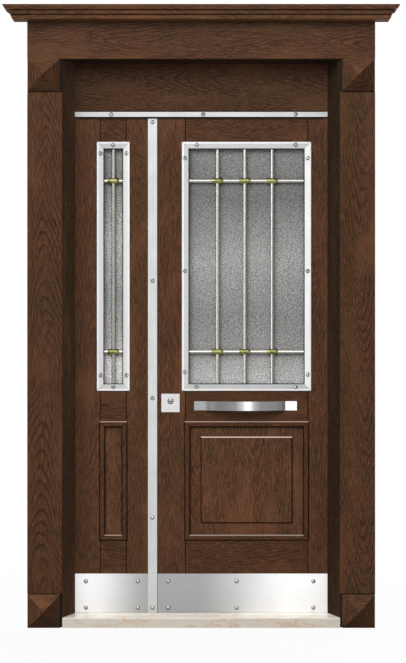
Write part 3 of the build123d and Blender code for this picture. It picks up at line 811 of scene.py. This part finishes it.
class DOOR_OT_metalwork(Operator):
    """Finish the strips, trims, plates, handles, lock and hinges"""

    bl_idname = "front_door.metalwork"
    bl_label = "Metalwork"

    def execute(self, context):
        colours = settings().colours
        dress("transom_strip", brushed("aluminium_level", 0, colours.aluminium, roughness=SATIN))
        dress("meeting_strip", brushed("aluminium_upright", 2, colours.aluminium, roughness=SATIN))
        for leaf in LEAVES:
            ring = f"{leaf}_glazing_trim"
            trim_light = [channel * TRIM_GAIN for channel in colours.aluminium]
            dress(ring, brushed("aluminium_" + ring, 2, trim_light, roughness=SATIN, ring=ring))
        for plate, reflection_slope in KICK_PAINTED_REFLECTION.items():
            sheet = brushed(
                "stainless_" + plate, 0, colours.stainless_light, colours.stainless_painted_dark, reflection_slope=reflection_slope
            )
            dress(plate, sheet)
        for handle in ("outer_pull_handle", "inner_pull_handle"):
            dress(handle, handle_painted_reflection(handle))
        plate_light = [channel * LOCK_PLATE_GAIN for channel in colours.aluminium]
        dress("lock_plates", brushed("stainless_lock_plates", 0, plate_light, roughness=(0.56, 0.68)))
        dress("lock_cylinder", dull_metal("nickel", colours.nickel, colours.nickel_dull_and_crown_light, (0.22, 0.34)))
        hinge_steel = dull_metal("hinge_steel", colours.nickel, colours.nickel_dull_and_crown_light, (0.30, 0.42))
        for hinges in ("frame_hinges", "side_leaf_hinges", "main_leaf_hinges"):
            dress(hinges, hinge_steel)
        return {"FINISHED"}


class DOOR_OT_glazing(Operator):
    """Finish the panes, grilles and collars"""

    bl_idname = "front_door.glazing"
    bl_label = "Glazing"

    def execute(self, context):
        colours = settings().colours
        bars = grille_steel()
        brass = dull_metal("collar_brass", colours.brass, colours.brass_tarnish, (0.28, 0.40))
        for leaf, lift, gain in PANES:
            dress(f"{leaf}_glass", pebbled_glass(f"{leaf}_glass", lift, gain))
            dress(f"{leaf}_grille", bars)
            dress(f"{leaf}_collars", brass)
        return {"FINISHED"}


class DOOR_OT_threshold(Operator):
    """Finish the stone threshold and the seal between the leaves"""

    bl_idname = "front_door.threshold"
    bl_label = "Threshold"

    def execute(self, context):
        dress("threshold", threshold_marble("threshold_marble"))
        dress("meeting_seal", seal_rubber("meeting_rubber"))
        return {"FINISHED"}


def screw_mesh(diameter, dome, skirt):
    """A domed screw head with a cross recess, seated at the origin and facing +Z."""
    radius = diameter / 2
    profile = (
        (0.0, dome), (0.34 * radius, 0.93 * dome), (0.66 * radius, 0.68 * dome),
        (0.90 * radius, 0.28 * dome), (radius, -0.1 * dome), (radius, -skirt), (0.0, -skirt),
    )
    bm = bmesh.new()
    points = [bm.verts.new((x, 0.0, z)) for x, z in profile]
    edges = [bm.edges.new(pair) for pair in zip(points, points[1:])]
    bmesh.ops.spin(
        bm, geom=points + edges, cent=(0, 0, 0), axis=(0, 0, 1),
        angle=2 * pi, steps=16, use_merge=True,
    )
    bmesh.ops.remove_doubles(bm, verts=bm.verts, dist=1e-6)
    bmesh.ops.recalc_face_normals(bm, faces=bm.faces)
    wings = []
    for face in bm.faces:
        middle = face.calc_center_median()
        turn = (atan2(middle.y, middle.x) % (pi / 2)) / (pi / 2)
        if middle.z > 0.70 * dome and turn < 0.25:
            wings.append(face)
    recess = bmesh.ops.extrude_face_region(bm, geom=wings)
    sunk = [part for part in recess["geom"] if isinstance(part, bmesh.types.BMVert)]
    bmesh.ops.translate(bm, vec=(0, 0, -0.55 * dome), verts=sunk)
    mesh = bpy.data.meshes.new("screw_pattern")
    bm.to_mesh(mesh)
    bm.free()
    return mesh


def add_screws(bm, pattern, places, facing):
    """Copies a screw to each place, with its dome towards -Y or +Y."""
    turn = Matrix.Rotation(radians(90) * (1 if facing < 0 else -1), 4, "X")
    for step, place in enumerate(places):
        before = len(bm.verts)
        bm.from_mesh(pattern)
        bm.verts.ensure_lookup_table()
        driven = Matrix.Rotation(step * SCREW_TURN, 4, "Z")
        seat = Matrix.Translation(place) @ turn @ driven
        bmesh.ops.transform(bm, matrix=seat, verts=bm.verts[before:])


def on_face(points, y):
    """Points given as (x, z) in millimetres, set on a face at y in metres."""
    return [Vector((x * MM, y, z * MM)) for x, z in points]


class DOOR_OT_screws(Operator):
    """Drive the domed screws of the strips, trims, kick plates and hinges"""

    bl_idname = "front_door.screws"
    bl_label = "Screws"

    def execute(self, context):
        sizes = settings().sizes
        pattern = screw_mesh(sizes.screw_diameter, sizes.screw_dome, sizes.screw_skirt)
        steel = screw_steel()

        bm = bmesh.new()
        add_screws(bm, pattern, on_face(TRANSOM_SCREWS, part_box("transom_strip")[0].y), -1)
        keep(bm, "frame_screws", "frame", steel, ROUND_ANGLE)

        strip_low, strip_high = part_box("meeting_strip")
        strip_x = (strip_low.x + strip_high.x) / 2 / MM
        strip_places = on_face([(strip_x, z) for z in MEETING_SCREW_HEIGHTS], strip_low.y)
        leaves = (
            ("side", strip_places, SIDE_TRIM_SCREWS, SIDE_KICK_SCREWS),
            ("main", [], MAIN_TRIM_SCREWS, MAIN_KICK_SCREWS),
        )
        for leaf, strip, trim, kick in leaves:
            trim_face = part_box(f"{leaf}_glazing_trim")[0].y + TRIM_SCREW_SINK * MM
            kick_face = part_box(f"{leaf}_kick_plate")[0].y
            bm = bmesh.new()
            add_screws(bm, pattern, strip, -1)
            add_screws(bm, pattern, on_face(trim, trim_face), -1)
            kick_places = [(x, z) for x in kick for z in KICK_SCREW_HEIGHTS]
            add_screws(bm, pattern, on_face(kick_places, kick_face), -1)
            keep(bm, f"{leaf}_leaf_screws", f"{leaf}_leaf", steel, ROUND_ANGLE)
        bpy.data.meshes.remove(pattern)
        self.drive_hinge_screws(sizes, steel)
        return {"FINISHED"}

    def drive_hinge_screws(self, sizes, steel):
        """Three screws in each hinge plate, on the room side."""
        pattern = screw_mesh(sizes.hinge_screw_diameter, sizes.hinge_screw_dome, sizes.screw_skirt)
        heights = [centre + step for centre in HINGE_HEIGHTS for step in HINGE_SCREW_STEPS]
        frame_low, frame_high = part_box("frame_hinges")
        inset = HINGE_SCREW_INSET * MM
        rows = (
            ("frame", (frame_low.x + inset, frame_high.x - inset)),
            ("side_leaf", (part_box("side_leaf_hinges")[1].x - inset,)),
            ("main_leaf", (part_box("main_leaf_hinges")[0].x + inset,)),
        )
        for body, columns in rows:
            bm = bmesh.new()
            for x in columns:
                add_screws(bm, pattern, on_face([(x / MM, z) for z in heights], HINGE_FACE * MM), 1)
            keep(bm, body + "_hinge_screws", body, steel, ROUND_ANGLE)
        bpy.data.meshes.remove(pattern)


def add_bar(bm, low, high, rounding=0.0004, turn=None):
    """Adds a bar between two corners, with rounded edges, turned about its middle."""
    low = Vector(low)
    high = Vector(high)
    bar = bmesh.new()
    bmesh.ops.create_cube(bar, size=1.0)
    bmesh.ops.scale(bar, vec=high - low, verts=bar.verts)
    bmesh.ops.bevel(
        bar, geom=bar.edges[:], offset=rounding, segments=2, profile=0.5, affect="EDGES", material=-1
    )
    if turn:
        bmesh.ops.rotate(bar, cent=(0, 0, 0), matrix=Matrix.Rotation(turn, 3, "Z"), verts=bar.verts)
    bmesh.ops.translate(bar, vec=(low + high) / 2, verts=bar.verts)
    mesh = bpy.data.meshes.new("bar_pattern")
    bar.to_mesh(mesh)
    bar.free()
    bm.from_mesh(mesh)
    bpy.data.meshes.remove(mesh)


def add_arc(bm, centre, profile, start, end, steps):
    """Adds a bar bent round an axis along Y, from its section's radii and lifts, with closed ends."""
    outward = Vector((cos(start), 0, sin(start)))
    forward = Vector((0, -1, 0))
    points = [bm.verts.new(centre + radius * outward + lift * forward) for radius, lift in profile]
    section = bm.faces.new(points)
    bmesh.ops.spin(
        bm, geom=points + section.edges[:] + [section], cent=centre, axis=forward,
        angle=end - start, steps=steps,
    )


def add_lip(bm, low, high, width, front, depth):
    """Adds a flat ring just inside an upright opening, from front back by depth."""
    corners = ((low.x, low.z), (high.x, low.z), (high.x, high.z), (low.x, high.z))
    face = bm.faces.new([bm.verts.new((x, front, z)) for x, z in corners])
    bm.normal_update()
    border = bmesh.ops.inset_region(
        bm, faces=[face], thickness=width, use_boundary=True, use_even_offset=True
    )
    bmesh.ops.delete(bm, geom=[face], context="FACES_ONLY")
    bmesh.ops.solidify(bm, geom=border["faces"], thickness=depth)


class DOOR_OT_seals(Operator):
    """Fit black rubber strips on the frame and the leaves that stand in for shadows, and the gaskets of
    the panes
    """

    bl_idname = "front_door.seals"
    bl_label = "Seals"

    def execute(self, context):
        sizes = settings().sizes
        rubber = seal_rubber("shadow_and_gasket_rubber")
        strip_low, strip_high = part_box("transom_strip")
        back = strip_high.y
        reach = strip_high.x - SEAL_END_GAP

        # Black strips under and over the transom strip stand in for its shadow and the shade line above
        # it
        bm = bmesh.new()
        lip_y = [back + depth for depth in TRANSOM_SHADOW_DEPTH]
        lip_z = [strip_low.z + height for height in TRANSOM_SHADOW_HEIGHT]
        add_bar(bm, (-reach, lip_y[0], lip_z[0]), (reach, lip_y[1], lip_z[1]))
        bead_depth, bead_height = TRANSOM_SHADE_BEAD
        bead_top = strip_high.z + bead_height
        add_bar(bm, (-reach, back - bead_depth, strip_high.z), (reach, back, bead_top))
        keep(bm, "transom_shadow_strips", "frame", rubber)

        # Black fillets in the gaps beside the blocks stand in for the shade in those gaps
        bm = bmesh.new()
        block_low, block_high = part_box("upper_blocks")
        foot_low, foot_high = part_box("lower_blocks")
        heights = ((block_low.z, block_high.z), (foot_low.z + BLOCK_SHADE_FOOT_GAP, foot_high.z))
        for low_z, high_z in heights:
            for side in (-1, 1):
                left, right = sorted(side * x for x in BLOCK_SHADE_ACROSS)
                add_bar(bm, (left, BLOCK_SHADE_DEPTH[0], low_z), (right, BLOCK_SHADE_DEPTH[1], high_z))
        keep(bm, "block_shade_fillets", "frame", rubber)

        # Black lips beside the meeting strip stand in for its shadow lines
        meet_low, meet_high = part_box("meeting_strip")
        left = (meet_low.x - LEFT_SHADOW_REACH, meet_low.x - SHADOW_LIP_GAP)
        right = (meet_high.x + SHADOW_LIP_GAP, meet_high.x + RIGHT_SHADOW_REACH)
        bm = bmesh.new()
        for lip_x, lip_y in ((left, LEFT_SHADOW_DEPTH), (right, RIGHT_SHADOW_DEPTH)):
            add_bar(bm, (lip_x[0], lip_y[0], meet_low.z), (lip_x[1], lip_y[1], meet_high.z))
        keep(bm, "meeting_shadow_lips", "side_leaf", rubber)

        # The pane gaskets are real, and their black also stands in for the shade line at the panes'
        # edges
        for leaf in LEAVES:
            low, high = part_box(f"{leaf}_glazing_trim")
            inset = Vector((TRIM_WIDTH, 0, TRIM_WIDTH))
            bm = bmesh.new()
            add_lip(bm, low + inset, high - inset, sizes.glazing_lip, GASKET_FRONT, GASKET_DEPTH)
            keep(bm, f"{leaf}_glazing_gasket", f"{leaf}_leaf", rubber)
        return {"FINISHED"}


def add_plates(bm, middle, rows, shift, half_depth, turn=None):
    """Adds a thin bar for each bolt or pocket, beside the middle of its edge plate."""
    for rise, height, width in rows:
        place = middle + Vector((shift, 0, rise))
        half = Vector((half_depth, width / 2, height / 2))
        add_bar(bm, place - half, place + half, turn=turn)


class DOOR_OT_lockwork(Operator):
    """Fit the lock's rose, a black bar that stands in for the keyway's shade, its edge plate and bolts,
    and the strike plate with black bars for its pockets' shade
    """

    bl_idname = "front_door.lockwork"
    bl_label = "Lockwork"

    def execute(self, context):
        sizes = settings().sizes
        colours = settings().colours
        dark = dull_metal("rose_steel", colours.fixing_steel, colours.rubber, (0.40, 0.55))
        bright = dull_metal("edge_plate_nickel", colours.nickel, colours.nickel_dull_and_crown_light, (0.26, 0.38))
        low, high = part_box("lock_cylinder")
        middle = (low + high) / 2
        radius = (high.x - low.x) / 2
        keyway = Vector((middle.x, low.y, low.z + radius))
        plate_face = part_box("lock_plates")[0].y

        # The rose ring is real, coloured near black so that it also paints the dark shade line round the
        # cylinder
        bm = bmesh.new()
        inner = radius + ROSE_GAP
        outer = inner + sizes.rose_width
        crest = ((inner + outer) / 2, 1.25 * ROSE_LIFT)
        profile = ((inner, 0.0), (inner, ROSE_LIFT), crest, (outer, 0.4 * ROSE_LIFT), (outer, 0.0))
        centre = Vector((keyway.x, plate_face, keyway.z))
        tail_turn = asin(CYLINDER_TAIL_HALF / inner)
        add_arc(bm, centre, profile, pi / 2 + tail_turn, 5 * pi / 2 - tail_turn, ROSE_STEPS)
        keep(bm, "cylinder_rose", "main_leaf", dark, ROUND_ANGLE)
        # A black bar at the keyway stands in for its shade
        bm = bmesh.new()
        slot_half = Vector(KEYWAY_SHADE_HALF)
        add_bar(bm, keyway - slot_half, keyway + slot_half, KEYWAY_SHADE_ROUNDING)
        keep(bm, "keyway_shade_bar", "main_leaf", seal_rubber("keyway_painted_shade"))

        half = Vector((sizes.plate_thickness / 2, sizes.faceplate_width / 2, sizes.faceplate_height / 2))
        edge_middle = Vector((LOCK_EDGE, LEAF_MIDDLE, middle.z))
        bm = bmesh.new()
        add_bar(bm, edge_middle - half, edge_middle + half, turn=LOCK_EDGE_TURN)
        add_plates(bm, edge_middle, BOLTS, BOLT_SHIFT, BOLT_HALF, LOCK_EDGE_TURN)
        keep(bm, "lock_edge_plate", "main_leaf", bright, EDGE_ANGLE)

        half = Vector((sizes.plate_thickness / 2, sizes.faceplate_width / 2, sizes.strike_height / 2))
        strike_middle = Vector((STRIKE_EDGE, LEAF_MIDDLE, middle.z))
        bm = bmesh.new()
        add_bar(bm, strike_middle - half, strike_middle + half)
        keep(bm, "strike_plate", "side_leaf", bright, EDGE_ANGLE)
        # Black bars on the strike plate stand in for the shade in its bolt pockets
        bm = bmesh.new()
        add_plates(bm, strike_middle, POCKETS, POCKET_SHIFT, POCKET_HALF)
        keep(bm, "strike_pocket_shades", "side_leaf", seal_rubber("pocket_painted_shade"))
        return {"FINISHED"}


def point_at(lamp, target):
    """Turns a lamp to face a point."""
    lamp.rotation_euler = (Vector(target) - lamp.location).to_track_quat("-Z", "Y").to_euler()


def soft_lamp(name, watts, place, target, size):
    """A rectangular soft lamp."""
    data = bpy.data.lights.new(name, "AREA")
    data.shape = "RECTANGLE"
    data.size, data.size_y = size
    data.energy = watts
    lamp = bpy.data.objects.new(name, data)
    lamp.location = place
    bpy.context.scene.collection.objects.link(lamp)
    point_at(lamp, target)


def seen_rays(tree):
    """A factor that is 1 for rays that show the background: camera, mirror and glass rays."""
    path = tree.nodes.new("ShaderNodeLightPath")
    seen = path.outputs["Is Camera Ray"]
    for ray in ("Is Glossy Ray", "Is Transmission Ray"):
        either = tree.nodes.new("ShaderNodeMath")
        either.operation = "MAXIMUM"
        tree.links.new(seen, either.inputs[0])
        tree.links.new(path.outputs[ray], either.inputs[1])
        seen = either.outputs[0]
    return seen


class DOOR_OT_stage(Operator):
    """Set the floor, the white surround, the lamps and the camera"""

    bl_idname = "front_door.stage"
    bl_label = "Studio"

    def execute(self, context):
        stage = settings().stage
        self.make_world(stage)
        self.make_floor(stage)
        soft_lamp("key_lamp", stage.key_power, *KEY_LAMP)
        soft_lamp("front_lamp", stage.front_power, *FRONT_LAMP)
        soft_lamp("side_lamp", stage.side_power, *SIDE_LAMP)
        soft_lamp("back_lamp", stage.back_power, *BACK_LAMP)
        soft_lamp("right_lamp", stage.right_power, *RIGHT_LAMP)

        scene = context.scene
        data = bpy.data.cameras.new("photo_camera")
        data.lens = stage.lens
        camera = bpy.data.objects.new("photo_camera", data)
        camera.location = (CAMERA_SIDE, CASING_FACE - stage.camera_distance, stage.camera_height)
        camera.rotation_euler = (radians(90), 0, 0)
        scene.collection.objects.link(camera)
        scene.camera = camera
        scene.view_settings.view_transform = "Standard"
        return {"FINISHED"}

    def make_world(self, stage):
        """White where the surround is seen, and a plain soft light elsewhere."""
        world = bpy.data.worlds.new("studio_world")
        bpy.context.scene.world = world
        world.use_nodes = True
        tree = world.node_tree
        soft = tree.nodes["Background"]
        soft.inputs["Color"].default_value = WHITE
        soft.inputs["Strength"].default_value = stage.ambient
        white = tree.nodes.new("ShaderNodeBackground")
        white.inputs["Color"].default_value = WHITE
        mixed = tree.nodes.new("ShaderNodeMixShader")
        tree.links.new(seen_rays(tree), mixed.inputs[0])
        tree.links.new(soft.outputs[0], mixed.inputs[1])
        tree.links.new(white.outputs[0], mixed.inputs[2])
        tree.links.new(mixed.outputs[0], tree.nodes["World Output"].inputs["Surface"])

    def make_floor(self, stage):
        """A pale round floor that keeps the shadow near the door and fades to white."""
        bm = bmesh.new()
        bmesh.ops.create_circle(bm, cap_ends=True, segments=96, radius=stage.floor_radius)
        bmesh.ops.translate(bm, vec=(0, 0, -FLOOR_DROP), verts=bm.verts)
        mesh = bpy.data.meshes.new("studio_floor")
        bm.to_mesh(mesh)
        bm.free()
        floor = bpy.data.objects.new("studio_floor", mesh)
        bpy.context.scene.collection.objects.link(floor)

        pale = Finish("studio_floor")
        speck = pale.noise(pale.place(), 180.0, 3.0)
        pale.set(
            Base_Color=pale.ramp(speck, (0.3, rgba(FLOOR_SHADE)), (0.7, rgba(FLOOR_LIGHT))),
            Roughness=0.8,
        )
        glow = pale.node("ShaderNodeEmission")
        fade = pale.span(pale.vector("LENGTH", pale.place()), *FLOOR_FADE)
        mixed = pale.node("ShaderNodeMixShader")
        pale.feed(mixed.inputs[0], pale.math("MULTIPLY", fade, seen_rays(pale.material.node_tree)))
        pale.feed(mixed.inputs[1], pale.shader.outputs[0])
        pale.feed(mixed.inputs[2], glow.outputs[0])
        pale.feed(pale.nodes["Material Output"].inputs["Surface"], mixed.outputs[0])
        floor.data.materials.append(pale.material)


class DOOR_PT_sidebar(Panel):
    """Lists the steps that dress the door"""

    bl_idname = "DOOR_PT_sidebar"
    bl_label = "Front Door"
    bl_space_type = "VIEW_3D"
    bl_region_type = "UI"
    bl_category = "Front Door"

    def draw(self, context):
        for step in STEPS:
            self.layout.operator(step.bl_idname)


STEPS = (
    DOOR_OT_walnut,
    DOOR_OT_metalwork,
    DOOR_OT_glazing,
    DOOR_OT_threshold,
    DOOR_OT_screws,
    DOOR_OT_seals,
    DOOR_OT_lockwork,
    DOOR_OT_stage,
)
CLASSES = (DoorColours, DoorSizes, DoorStage, DoorSettings, *STEPS, DOOR_PT_sidebar)


def register():
    """Adds the classes, and the door's settings on the scene."""
    for cls in CLASSES:
        bpy.utils.register_class(cls)
    bpy.types.Scene.front_door = PointerProperty(type=DoorSettings)


def unregister():
    """Takes the settings and the classes away."""
    del bpy.types.Scene.front_door
    for cls in reversed(CLASSES):
        bpy.utils.unregister_class(cls)


def main():
    """Dresses the door step by step."""
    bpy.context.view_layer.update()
    register()
    bpy.ops.front_door.walnut()
    bpy.ops.front_door.metalwork()
    bpy.ops.front_door.glazing()
    bpy.ops.front_door.threshold()
    bpy.ops.front_door.screws()
    bpy.ops.front_door.seals()
    bpy.ops.front_door.lockwork()
    bpy.ops.front_door.stage()


if __name__ == "__main__":
    main()
